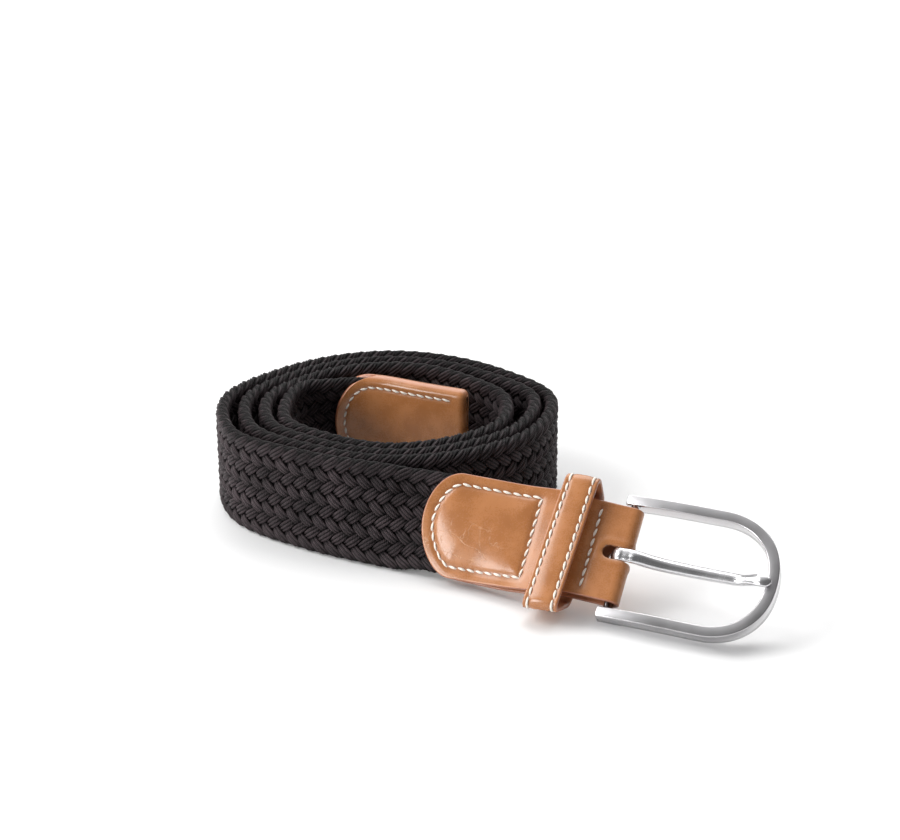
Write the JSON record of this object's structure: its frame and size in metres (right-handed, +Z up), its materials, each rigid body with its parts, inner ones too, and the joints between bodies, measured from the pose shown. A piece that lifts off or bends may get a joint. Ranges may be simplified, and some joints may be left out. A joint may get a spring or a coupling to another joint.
{
  "type": "braided elastic stretch belt",
  "caption": "Braided elastic waist belt, coiled on its edge, with sewn leather ends, a keeper loop and a single-prong metal buckle.",
  "frame": {"origin": "middle of the underside of the whole belt's box, on the surface it rests on", "axes": "+Z up, +X along the coil's long way towards the buckle, +Y from the buckle's side of the coil to its far side"},
  "size_m": [0.186, 0.1578, 0.0374],
  "materials": {
    "strap": "matte braided elastic",
    "leather": "semi-gloss smooth leather",
    "frame_metal": "satin nickel face with polished edges",
    "prong_metal": "polished"
  },
  "bodies": {
    "belt": {"braided_strap": "strap", "buckle_tab": "leather", "keeper_loop": "leather", "tip_cover": "leather"},
    "frame": {"buckle_frame": "frame_metal"},
    "prong": {"prong": "prong_metal"}
  },
  "joints": [
    {"name": "frame_swing", "type": "hinge", "parent": "belt", "child": "frame", "pos_m": [0.04447, -0.04943, 0.01672], "axis": [-0.2924, -0.708, -0.6428], "range_deg": [-130, 130]},
    {"name": "prong_swing", "type": "hinge", "parent": "frame", "child": "prong", "pos_m": [0.04447, -0.04943, 0.01672], "axis": [-0.2924, -0.708, -0.6428], "range_deg": [0, 130]}
  ]
}
